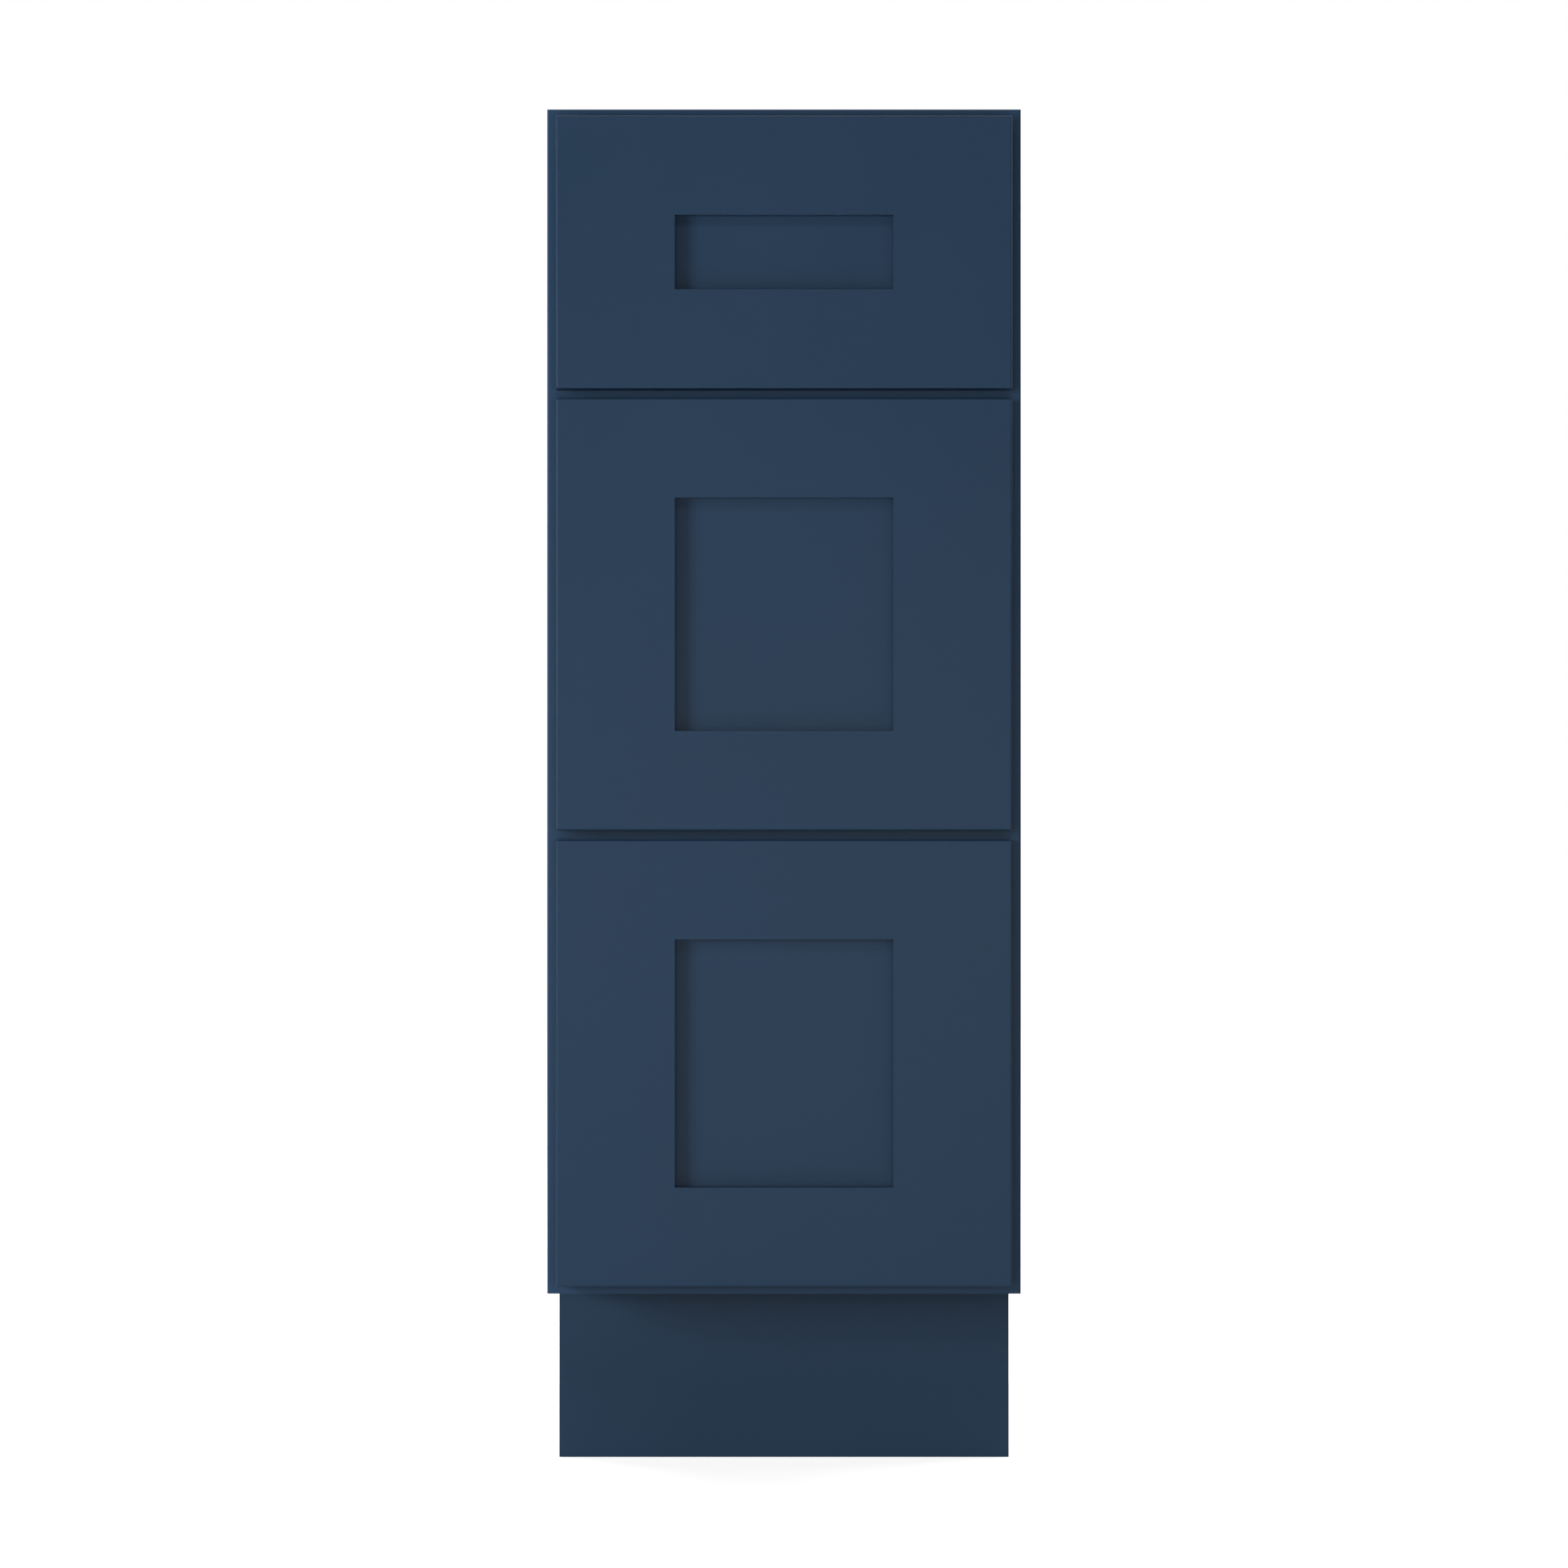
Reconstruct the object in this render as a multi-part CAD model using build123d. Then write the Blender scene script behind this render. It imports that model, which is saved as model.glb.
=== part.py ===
from build123d import *
import os

# A narrow bathroom vanity base cabinet: a plywood box with a solid face frame and three dovetailed drawers
# on concealed full-extension runners. Millimetres. X runs left to right, Y from the drawer fronts to the
# wall and Z up. The origin is the centre of the footprint, on the floor.
#
# Three kinds of distance are used below. "Behind" is how far a point lies behind the face frame's front.
# "Inward" is how far it lies inside the edge of the frame opening. Heights on a drawer and its runners
# count from the lower edge of the drawer's sides.

INCH = 25.4

# Cabinet box and face frame
WIDTH = 12 * INCH
HEIGHT = 34.5 * INCH
DEPTH = 21 * INCH  # face frame to wall, without the drawer fronts
TOE_HEIGHT = 4.5 * INCH
TOE_RECESS = 3 * INCH
PLY = INCH / 2
DADO = INCH / 4
FRAME_OVERHANG = 3 / 16 * INCH  # how far the face frame stands past each side panel
FRAME_THICK = 3 / 4 * INCH
FRAME_MEMBER = 1.5 * INCH
TENON_LENGTH = 3 / 8 * INCH
TENON_THICK = INCH / 4
TENON_SHOULDER = 5.0
TENON_BEHIND = 4.4
NAILER_HEIGHT = 3 * INCH
NAILER_THICK = 3 / 4 * INCH
EDGE_ROUND = 1.2
FINE_ROUND = 0.8

# Shaker drawer fronts. The bottom one takes the height that the other two leave.
REVEAL = INCH / 4  # round the fronts and between them
FRONT_WIDTH = 11.5 * INCH
TOP_FRONT = 6.875 * INCH
MIDDLE_FRONT = 10.875 * INCH
FRONT_THICK = 3 / 4 * INCH
FRONT_STILE = 3 * INCH
FRONT_RAIL = 2.5 * INCH
PANEL_THICK = INCH / 4
PANEL_RECESS = 3 / 8 * INCH
PANEL_GROOVE = 3 / 8 * INCH
PANEL_FLOAT = 1.5  # room for the panel to move in its groove
BUMPER_THICK = 1.6
BUMPER_RADIUS = 4.0
BUMPER_INSET = 12.0

# Drawer boxes
BOX_HEIGHTS = (4 * INCH, 8 * INCH, 8 * INCH)
BOX_LENGTH = 18 * INCH
BOARD = 5 / 8 * INCH
BOX_SIDE_GAP = 5.0
BOX_FLOOR_GAP = 14.0  # from the bottom of a frame opening to the drawer's lower edge
BOTTOM_RECESS = INCH / 2  # from the drawer's lower edge up to its bottom panel
BOTTOM_THICK = INCH / 4
TAIL_LENGTH = 11.0
TAIL_PITCH = INCH
TAIL_WIDE = 17.0
TAIL_NARROW = 11.5
RUNNER_NOTCH = 52.0

# Runners, as folded steel strips. Points are (inward, height) along the middle of the sheet.
SHEET = 1.2
BEND = 1.8
WEB_HEIGHT = -11.4
FLANGE_TOP = 12.0
FIXED_ANGLE = ((0.6, FLANGE_TOP), (0.6, WEB_HEIGHT), (24, WEB_HEIGHT))
TRACK_HAT = ((28.6, WEB_HEIGHT), (28.6, 0.6), (39.4, 0.6), (39.4, WEB_HEIGHT), (46, WEB_HEIGHT))
MIDDLE_TRACK = ((25.8, -8), (25.8, 4.6), (42.2, 4.6), (42.2, -8))
UPPER_TRACK = ((23, -5), (23, BOTTOM_RECESS - SHEET / 2), (45, BOTTOM_RECESS - SHEET / 2), (45, -5))
FIXED_SPAN = (3.2, 458.0)  # front and rear ends, behind the frame's front
TRACK_START = 20.0
MIDDLE_SPAN = (28.0, 440.0)
UPPER_START = 27.0
HOOK_INWARD = 28.0
HOOK_HEIGHT = 24.0
HOOK_RADIUS = 2.8
HOOK_CLEARANCE = 0.2
HOOK_DEPTH = 9.0
HOOK_TAB_HALF = 6.0
HOOK_TAB_LOW = 6.6
HOOK_GAP = 0.3

# Moulded brackets on the back panel for the runners' rear ends
SOCKET_WALL = 3.0
SOCKET_PLATE = 5.0
SOCKET_CLEAR = 0.3
SOCKET_GRIP = 34.0  # how far it reaches forward along the rail
SOCKET_INWARD = (20.0, -19.0)
SOCKET_PLATE_TOP = 18.0
SOCKET_CHEEK_TOP = 13.0
SOCKET_STOP_TOP = -2.0
SOCKET_ROUND = 3.0

# Soft-close dampers beside the fixed rails
DAMPER_SPAN = (330.0, 420.0)
DAMPER_INWARD = 53.1
DAMPER_HALF = 6.2
DAMPER_RISE = 8.0
DAMPER_BELOW = 1.0
DAMPER_END = 6.0
DAMPER_GROOVE = 3.9
DAMPER_GROOVE_RISE = 6.0
DAMPER_CYLINDER = 2.4
DAMPER_CYLINDER_RISE = 4.6
DAMPER_CYLINDER_LENGTH = 54.0
DAMPER_ROD = 1.0
DAMPER_ROD_OUT = 12.0
DAMPER_KNOB = 2.6
DAMPER_KNOB_LENGTH = 4.0
DAMPER_FOOT = 3.4

# Locking clips under the front corners of each drawer, and their release levers. Distances called
# "back" count from the lever's pin, away from the drawer front.
CLIP_X = (42.0, 66.0)
CLIP_WALL = 4.0
CLIP_RIM = 3.0
CLIP_ROOF = 2.0
CLIP_UNDER = 3.0
CLIP_REAR = 64.0
CLIP_NOSE_REAR = 26.0
CLIP_HUB = 8.0  # half the length left solid round the pin
PIVOT_X = 54.0
PIVOT_BEHIND = 40.0
PIN_RADIUS = 3.0
PIN_CLEARANCE = 0.1
PIN_CAP = 1.4
PIN_CAP_THICK = 1.0
PIN_END_PLAY = 0.2
LEVER_LOW = -1.5
LEVER_HIGH = 2.7
LEVER_HUB = 6.5
LEVER_ARM = 4.0
LATCH_TIP_X = 70.6
LATCH_BACK = (11.5, 16.5)
LATCH_ROOT = 4.0
WINDOW_BACK = (10.5, 20.5)
WINDOW_CLEARANCE = 0.8
PAD_BACK = (-24.0, -10.0)
PAD_THICK = 3.5
PAD_LOW = -8.0
PAD_ROUND = 1.4
GRIP_RIBS = 4
GRIP_PITCH = 2.8
GRIP_RADIUS = 0.7

# Worktop brackets in the top corners of the cabinet
BRACKET_LEG = 50.0
BRACKET_WALL = 3.5
BRACKET_HEIGHT = 24.0
BRACKET_BOSS_HEIGHT = 10.0
BRACKET_BOSS_WALL = 3.0
WORKTOP_HOLE = 2.5
WORKTOP_HOLE_OUT = 17.0  # from the corner, along both legs

# Screws: the pan-head screw itself, then each place and length
SHANK = 1.9
HEAD = 3.6
HEAD_HEIGHT = 2.2
HEAD_CROWN = 1.3
TIP_RADIUS = 0.3
SLOT_WIDTH = 0.9
PILOT_CLEARANCE = 0.05
PILOT_DEEPER = 1.0
HOLE_CLEARANCE = 0.4
BRACKET_SCREW_OUT = 34.0
BRACKET_SCREW_DOWN = 14.0
BRACKET_SCREW = 14.0
RUNNER_SCREW_BEHIND = 11.0
RUNNER_SCREW_HEIGHT = 3.0
RUNNER_SCREW = 16.0
SOCKET_SCREW_INWARD = -12.0
SOCKET_SCREW_HEIGHTS = (-6.0, 12.0)
SOCKET_SCREW = 15.0
FRONT_SCREW_X = 80.0
FRONT_SCREW_SHARES = (0.3, 0.75)  # of the drawer's height
FRONT_SCREW = 28.0
CLIP_SCREW_X = (49.5, 58.5)
CLIP_SCREW_HEIGHT = 6.8
CLIP_SCREW = 13.0

# Places worked out from them
OVERALL_DEPTH = DEPTH + BUMPER_THICK + FRONT_THICK
FRAME_FRONT = FRONT_THICK + BUMPER_THICK - OVERALL_DEPTH / 2
HALF = WIDTH / 2
SIDE_OUT = HALF - FRAME_OVERHANG
SIDE_IN = SIDE_OUT - PLY
OPENING_HALF = HALF - FRAME_MEMBER
BOX_HALF = OPENING_HALF - BOX_SIDE_GAP
BOX_IN = BOX_HALF - BOARD
FLOOR_TOP = TOE_HEIGHT + FRAME_MEMBER - DADO
FLOOR_Z = (FLOOR_TOP - PLY, FLOOR_TOP)
HOUSED = SIDE_IN + DADO
INNER_BACK = DEPTH - PLY
NAILER_FACE = INNER_BACK - NAILER_THICK
BOX_FACE = -BUMPER_THICK
BOX_REAR = BOX_FACE + BOX_LENGTH
FRONT_FACE = BOX_FACE - FRONT_THICK
PANEL_FACE = FRONT_FACE + PANEL_RECESS
PANEL_REAR = PANEL_FACE + PANEL_THICK
BOTTOM_FRONT = HEIGHT - TOE_HEIGHT - 4 * REVEAL - TOP_FRONT - MIDDLE_FRONT

SAME = 0.01  # closer than this is the same place
UPWARD = (Align.CENTER, Align.CENTER, Align.MIN)
RIGHT, FORWARD, BACKWARD = (1, 0, 0), (0, -1, 0), (0, 1, 0)

parts = {}


def behind(distance):
    """The Y of a point that far behind the face frame's front."""
    return FRAME_FRONT + distance


def inward(distance):
    """The X, on the right, of a point that far inside the edge of the frame opening."""
    return OPENING_HALF - distance


def same(a, b):
    return abs(a - b) < SAME


def block(x, y, z):
    """A box between the two values of each pair."""
    size = (x[1] - x[0], y[1] - y[0], z[1] - z[0])
    return Pos((x[0] + x[1]) / 2, (y[0] + y[1]) / 2, (z[0] + z[1]) / 2) * Box(*size)


def deep_block(x, near, far, z):
    """A box whose Y runs between two distances behind the face frame's front."""
    return block(x, (behind(near), behind(far)), z)


def rounded(shape, radius, chosen):
    """The shape with the edges that pass the test rounded. The test gets an edge and its middle."""
    return fillet([edge for edge in shape.edges() if chosen(edge, edge @ 0.5)], radius)


def post(x, y, z, radius, height):
    """An upright cylinder standing on the point."""
    return Pos(x, y, z) * Cylinder(radius, height, align=UPWARD)


def rod(start, way, radius, length):
    """A cylinder that runs from the point along the direction."""
    return Plane(origin=start, z_dir=way) * Cylinder(radius, length, align=UPWARD)


def along_y(sketch, near, far):
    """A sketch in X and Z, swept between two distances behind the face frame's front."""
    return Pos(0, behind(near), 0) * extrude(Plane.XZ * sketch, near - far)


def across_x(points, x):
    """A flat outline of (behind, Z) points, swept between the two values of x."""
    face = make_face(Polyline(*[(behind(d), z) for d, z in points], close=True))
    return Pos(x[0], 0, 0) * extrude(Plane.YZ * face, x[1] - x[0])


def folded_strip(track, base, near, far):
    """A strip of sheet steel on the right, folded along a runner's track points."""
    line = FilletPolyline(*[(inward(u), base + z) for u, z in track], radius=BEND)
    return along_y(trace(line, line_width=SHEET), near, far)


def mirrored(shape):
    return mirror(shape, Plane.YZ)


def both_sides(shape):
    return [shape, mirrored(shape)]


def without(shape, *cuts):
    """The shape less each cut and less the cut's mirror image."""
    for cut in cuts:
        shape = shape - cut - mirrored(cut)
    return shape


def save(name, *shapes):
    """Keeps a node: each shape given is one piece, or several identical ones."""
    parts[name] = [solid for shape in shapes for solid in shape.solids()]


def save_pairs(name, shapes):
    """Keeps a node of identical right-hand pieces and their mirror images."""
    save(name, *[piece for shape in shapes for piece in both_sides(shape)])


# ---------------------------------------------------------------------------------------------------
# Vertical layout: the fronts, the frame openings behind them and the drawer boxes


def front_spans():
    """The lower and upper Z of each drawer front, from the top drawer down."""
    spans, top = [], HEIGHT - REVEAL
    for height in (TOP_FRONT, MIDDLE_FRONT, BOTTOM_FRONT):
        spans.append((top - height, top))
        top -= height + REVEAL
    return spans


FRONT_SPANS = front_spans()
MID_RAILS = [span[0] - REVEAL / 2 for span in FRONT_SPANS[:2]]
RAIL_CENTRES = [HEIGHT - FRAME_MEMBER / 2, *MID_RAILS, TOE_HEIGHT + FRAME_MEMBER / 2]
BOX_BASES = [centre + FRAME_MEMBER / 2 + BOX_FLOOR_GAP for centre in RAIL_CENTRES[1:]]

# ---------------------------------------------------------------------------------------------------
# Screws. A place is where the head's underside sits, the way the shank runs, and its length.


def screw(start, way, length):
    """A pan-head screw with a pointed tip and a cross slot."""
    tip = 2 * SHANK
    body = Cylinder(SHANK, length - tip, align=UPWARD)
    body += Pos(0, 0, length - tip) * Cone(SHANK, TIP_RADIUS, tip, align=UPWARD)
    cap = Pos(0, 0, -HEAD_HEIGHT) * Cylinder(HEAD, HEAD_HEIGHT, align=UPWARD)
    cap = fillet(cap.edges().sort_by(Axis.Z)[0], HEAD_CROWN)
    for turn in (0, 90):
        cap -= Pos(0, 0, -HEAD_HEIGHT) * Rot(0, 0, turn) * Box(HEAD, SLOT_WIDTH, HEAD_HEIGHT)
    return Plane(origin=start, z_dir=way) * (body + cap)


def pilot(start, way, length):
    return rod(start, way, SHANK + PILOT_CLEARANCE, length + PILOT_DEEPER)


def clearance_hole(start, way, wall):
    """A hole through the wall that the screw's head sits on."""
    return rod(start, way, SHANK + HOLE_CLEARANCE, wall)


def bracket_screws():
    """On each right-hand corner bracket, one screw into the side and one into the frame or nailer."""
    z = HEIGHT - BRACKET_SCREW_DOWN
    places = []
    for corner, step in ((behind(FRAME_THICK), 1), (behind(NAILER_FACE), -1)):
        beside = (SIDE_IN - BRACKET_WALL, corner + step * BRACKET_SCREW_OUT, z)
        across = (SIDE_IN - BRACKET_SCREW_OUT, corner + step * BRACKET_WALL, z)
        places += [(beside, RIGHT, BRACKET_SCREW), (across, (0, -step, 0), BRACKET_SCREW)]
    return places


def runner_screws():
    """One screw through each right-hand rail's flange into the frame stile."""
    x, y = inward(SHEET), behind(RUNNER_SCREW_BEHIND)
    return [((x, y, base + RUNNER_SCREW_HEIGHT), RIGHT, RUNNER_SCREW) for base in BOX_BASES]


def socket_screws():
    """Two screws through each right-hand rear bracket into the back panel."""
    x, y = inward(SOCKET_SCREW_INWARD), behind(INNER_BACK - SOCKET_PLATE)
    heights = [base + z for base in BOX_BASES for z in SOCKET_SCREW_HEIGHTS]
    return [((x, y, z), BACKWARD, SOCKET_SCREW) for z in heights]


def front_screws(base, height):
    """Screws from inside the drawer box into the right stile of its front."""
    y = behind(BOX_FACE + BOARD)
    heights = [base + share * height for share in FRONT_SCREW_SHARES]
    return [((FRONT_SCREW_X, y, z), FORWARD, FRONT_SCREW) for z in heights]


def clip_screws(base):
    """Screws from the right-hand locking clip into the box front."""
    y, z = behind(BOX_FACE + BOARD + CLIP_WALL), base + CLIP_SCREW_HEIGHT
    return [((x, y, z), FORWARD, CLIP_SCREW) for x in CLIP_SCREW_X]


# ---------------------------------------------------------------------------------------------------
# The box of the cabinet


def side_panel():
    """The right side: plywood notched for the toe space, housed for the floor and rabbeted for the back."""
    front, kick_rear = FRAME_THICK - DADO, TOE_RECESS + PLY
    notch = ((front, TOE_HEIGHT), (kick_rear, TOE_HEIGHT), (kick_rear, 0))
    outline = (*notch, (DEPTH, 0), (DEPTH, HEIGHT), (front, HEIGHT))
    panel = across_x(outline, (SIDE_IN, SIDE_OUT))
    panel -= deep_block((SIDE_IN, HOUSED), FRAME_THICK, DEPTH, FLOOR_Z)
    panel -= deep_block((SIDE_IN, HOUSED), INNER_BACK, DEPTH, (0, HEIGHT))
    for place in bracket_screws():
        panel -= pilot(*place)
    return panel


def floor_panel():
    """The bottom of the cabinet, housed in the sides, with a tongue into the face frame's bottom rail."""
    tongue = deep_block((-OPENING_HALF, OPENING_HALF), FRAME_THICK - DADO, FRAME_THICK, FLOOR_Z)
    return tongue + deep_block((-HOUSED, HOUSED), FRAME_THICK, INNER_BACK, FLOOR_Z)


def back_panel():
    """The back, let into the sides' rabbets from the floor to the top."""
    panel = deep_block((-HOUSED, HOUSED), INNER_BACK, DEPTH, (0, HEIGHT))
    return without(panel, *[pilot(*place) for place in socket_screws()])


def toe_kick():
    """The kick board covers the notched edges of the sides, and its tongue rises between them."""
    rear = TOE_RECESS + PLY
    tongue = deep_block((-SIDE_IN, SIDE_IN), TOE_RECESS, rear, (TOE_HEIGHT, FLOOR_Z[0]))
    return tongue + deep_block((-SIDE_OUT, SIDE_OUT), TOE_RECESS, rear, (0, TOE_HEIGHT))


def hanging_rail():
    """The rail along the top of the back that holds the cabinet to the wall."""
    rail = deep_block((-SIDE_IN, SIDE_IN), NAILER_FACE, INNER_BACK, (HEIGHT - NAILER_HEIGHT, HEIGHT))
    return without(rail, *[pilot(*place) for place in bracket_screws()])


def rail_tenons(centre):
    """One bar that holds both tenons of a face-frame rail."""
    reach, half = OPENING_HALF + TENON_LENGTH, FRAME_MEMBER / 2 - TENON_SHOULDER
    z = (centre - half, centre + half)
    return deep_block((-reach, reach), TENON_BEHIND, TENON_BEHIND + TENON_THICK, z)


def frame_rail(centre):
    """A rail of the face frame. Only the bottom one meets the floor's tongue, and is grooved for it."""
    z = (centre - FRAME_MEMBER / 2, centre + FRAME_MEMBER / 2)
    rail = deep_block((-OPENING_HALF, OPENING_HALF), 0, FRAME_THICK, z) + rail_tenons(centre)
    rail -= deep_block((-OPENING_HALF, OPENING_HALF), FRAME_THICK - DADO, FRAME_THICK, FLOOR_Z)
    return without(rail, *[pilot(*place) for place in bracket_screws()])


def frame_stile():
    """The right stile: mortised for the rails and grooved at the back for the side panel."""
    stile = deep_block((OPENING_HALF, HALF), 0, FRAME_THICK, (TOE_HEIGHT, HEIGHT))
    stile = rounded(stile, EDGE_ROUND, lambda edge, c: same(c.Y, behind(0)) and same(c.X, HALF))
    for centre in RAIL_CENTRES:
        stile -= rail_tenons(centre)
    stile -= deep_block((SIDE_IN, SIDE_OUT), FRAME_THICK - DADO, FRAME_THICK, (TOE_HEIGHT, HEIGHT))
    for place in runner_screws():
        stile -= pilot(*place)
    return stile


def corner_bracket(corner, step):
    """A bracket in a top right corner: two flanges, a web and a boss for the worktop's screw."""
    z = (HEIGHT - BRACKET_HEIGHT, HEIGHT)
    along_side = sorted((corner, corner + step * BRACKET_LEG))
    along_frame = sorted((corner, corner + step * BRACKET_WALL))
    bracket = block((SIDE_IN - BRACKET_WALL, SIDE_IN), along_side, z)
    bracket += block((SIDE_IN - BRACKET_LEG, SIDE_IN), along_frame, z)
    points = ((SIDE_IN, corner), (SIDE_IN - BRACKET_LEG, corner), (SIDE_IN, corner + step * BRACKET_LEG))
    web = extrude(make_face(Polyline(*points, close=True)), BRACKET_WALL, dir=(0, 0, 1))
    bracket += Pos(0, 0, HEIGHT - BRACKET_WALL) * web
    x, y = SIDE_IN - WORKTOP_HOLE_OUT, corner + step * WORKTOP_HOLE_OUT
    boss_low = HEIGHT - BRACKET_BOSS_HEIGHT
    bracket += post(x, y, boss_low, WORKTOP_HOLE + BRACKET_BOSS_WALL, BRACKET_BOSS_HEIGHT)
    bracket -= post(x, y, boss_low, WORKTOP_HOLE, BRACKET_BOSS_HEIGHT)
    for start, way, _ in bracket_screws():
        bracket -= clearance_hole(start, way, BRACKET_WALL)
    return bracket


def bumpers():
    """A soft dot on the frame behind each right-hand corner of each front."""
    dot = Cylinder(BUMPER_RADIUS, BUMPER_THICK, align=UPWARD)
    dot = fillet(dot.edges().sort_by(Axis.Z)[-1], FINE_ROUND)
    x = FRONT_WIDTH / 2 - BUMPER_INSET
    heights = [z for low, high in FRONT_SPANS for z in (low + BUMPER_INSET, high - BUMPER_INSET)]
    return [Plane(origin=(x, behind(0), z), z_dir=FORWARD) * dot for z in heights]


# ---------------------------------------------------------------------------------------------------
# Runners: the fixed rail, the middle rail and the upper rail that carries the drawer


def fixed_runner(base):
    """The rail fixed to the cabinet: a flange, a web and a raised track, with a plain angle at the front."""
    near, far = FIXED_SPAN
    rail = folded_strip(FIXED_ANGLE[:2] + TRACK_HAT, base, TRACK_START, far)
    rail += folded_strip(FIXED_ANGLE, base, near, TRACK_START)
    for start, way, _ in runner_screws():
        rail -= rod(start, way, SHANK + HOLE_CLEARANCE, SHEET)
    return rail


def middle_runner(base):
    """The rail that travels half as far as the drawer."""
    return folded_strip(MIDDLE_TRACK, base, *MIDDLE_SPAN)


def upper_runner(base):
    """The rail under the drawer bottom, with a window for the latch and a hook into the box's back."""
    rear = BOX_REAR + HOOK_GAP
    rail = folded_strip(UPPER_TRACK, base, UPPER_START, rear)
    tab_x = (inward(HOOK_INWARD + HOOK_TAB_HALF), inward(HOOK_INWARD - HOOK_TAB_HALF))
    rail += deep_block(tab_x, rear, rear + SHEET, (base + HOOK_TAB_LOW, base + HOOK_HEIGHT + HOOK_TAB_HALF))
    hook_start = (inward(HOOK_INWARD), behind(rear), base + HOOK_HEIGHT)
    rail += rod(hook_start, FORWARD, HOOK_RADIUS, HOOK_DEPTH + HOOK_GAP)
    leg, foot = UPPER_TRACK[-1]
    near, far = (PIVOT_BEHIND + back for back in WINDOW_BACK)
    window_z = (base + foot, base + LEVER_HIGH + WINDOW_CLEARANCE)
    return rail - deep_block((inward(leg + SHEET), inward(leg - SHEET)), near, far, window_z)


def rear_socket(base):
    """The moulded bracket on the back panel that holds the fixed rail's rear end."""
    under = base + WEB_HEIGHT - SHEET / 2 - SOCKET_CLEAR - SOCKET_WALL
    plate_near = INNER_BACK - SOCKET_PLATE
    grip_near, grip_far = FIXED_SPAN[1] - SOCKET_GRIP, FIXED_SPAN[1] + SOCKET_CLEAR
    inner, outer = (inward(u) for u in SOCKET_INWARD)
    cheek_x = (inward(-SOCKET_CLEAR), inward(-SOCKET_CLEAR - SOCKET_WALL))
    plate = deep_block((inner, outer), plate_near, INNER_BACK, (under, base + SOCKET_PLATE_TOP))
    socket = rounded(plate, SOCKET_ROUND, lambda edge, c: same(edge.length, SOCKET_PLATE))
    socket += deep_block((inner, cheek_x[1]), grip_near, plate_near, (under, under + SOCKET_WALL))
    socket += deep_block(cheek_x, grip_near, plate_near, (under, base + SOCKET_CHEEK_TOP))
    socket += deep_block((inner, cheek_x[0]), grip_far, plate_near, (under, base + SOCKET_STOP_TOP))
    for start, way, _ in socket_screws():
        socket -= clearance_hole(start, way, SOCKET_PLATE)
    return socket


def damper(base):
    """The soft-close unit on the fixed rail: a moulded trough with its cylinder, rod and knob."""
    x, low = inward(DAMPER_INWARD), base + WEB_HEIGHT + SHEET / 2
    near, far = DAMPER_SPAN
    inner_near, inner_far = near + DAMPER_END, far - DAMPER_END
    right = x + DAMPER_HALF
    unit = deep_block((x - DAMPER_HALF, right), near, far, (low - DAMPER_BELOW, low + DAMPER_RISE))
    unit = rounded(unit, EDGE_ROUND, lambda edge, c: same(edge.length, far - near) and c.Z > low)
    unit -= along_y(Pos(x, low + DAMPER_GROOVE_RISE) * Circle(DAMPER_GROOVE), inner_near, inner_far)
    unit += deep_block((right, right + DAMPER_FOOT), inner_near, inner_far, (low, low + SHEET))
    cylinder_near, rod_near = inner_far - DAMPER_CYLINDER_LENGTH, near - DAMPER_ROD_OUT
    middle = Pos(x, low + DAMPER_CYLINDER_RISE)
    unit += along_y(middle * Circle(DAMPER_CYLINDER), cylinder_near, inner_far)
    unit += along_y(middle * Circle(DAMPER_ROD), rod_near, cylinder_near)
    return unit + along_y(middle * Circle(DAMPER_KNOB), rod_near - DAMPER_KNOB_LENGTH, rod_near)


# ---------------------------------------------------------------------------------------------------
# The locking clip and its lever


def locking_clip(base):
    """The moulded clip under the right front corner, with the pin that its lever turns on."""
    near, low, high = BOX_FACE + BOARD, base + CLIP_UNDER, base + BOTTOM_RECESS
    clip = deep_block(CLIP_X, near, CLIP_REAR, (low, high))
    middle_z = (low + high) / 2
    clip = rounded(clip, CLIP_RIM, lambda edge, c: same(c.Y, behind(CLIP_REAR)) and same(c.Z, middle_z))
    pocket_x = (CLIP_X[0] + CLIP_RIM, CLIP_X[1] - CLIP_RIM)
    pocket_z = (low, high - CLIP_ROOF)
    clip -= deep_block(pocket_x, near + CLIP_WALL, PIVOT_BEHIND - CLIP_HUB, pocket_z)
    clip -= deep_block(pocket_x, PIVOT_BEHIND + CLIP_HUB, CLIP_REAR - CLIP_RIM, pocket_z)
    clip += deep_block((CLIP_X[1], inward(UPPER_TRACK[0][0])), near, CLIP_NOSE_REAR, (low, high))
    x, y, foot = PIVOT_X, behind(PIVOT_BEHIND), base + LEVER_LOW - PIN_END_PLAY
    clip += post(x, y, foot, PIN_RADIUS, low - foot)
    clip += post(x, y, foot - PIN_CAP_THICK, PIN_RADIUS + PIN_CAP, PIN_CAP_THICK)
    for start, way, _ in clip_screws(base):
        clip -= clearance_hole(start, way, CLIP_WALL)
    return clip


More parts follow.
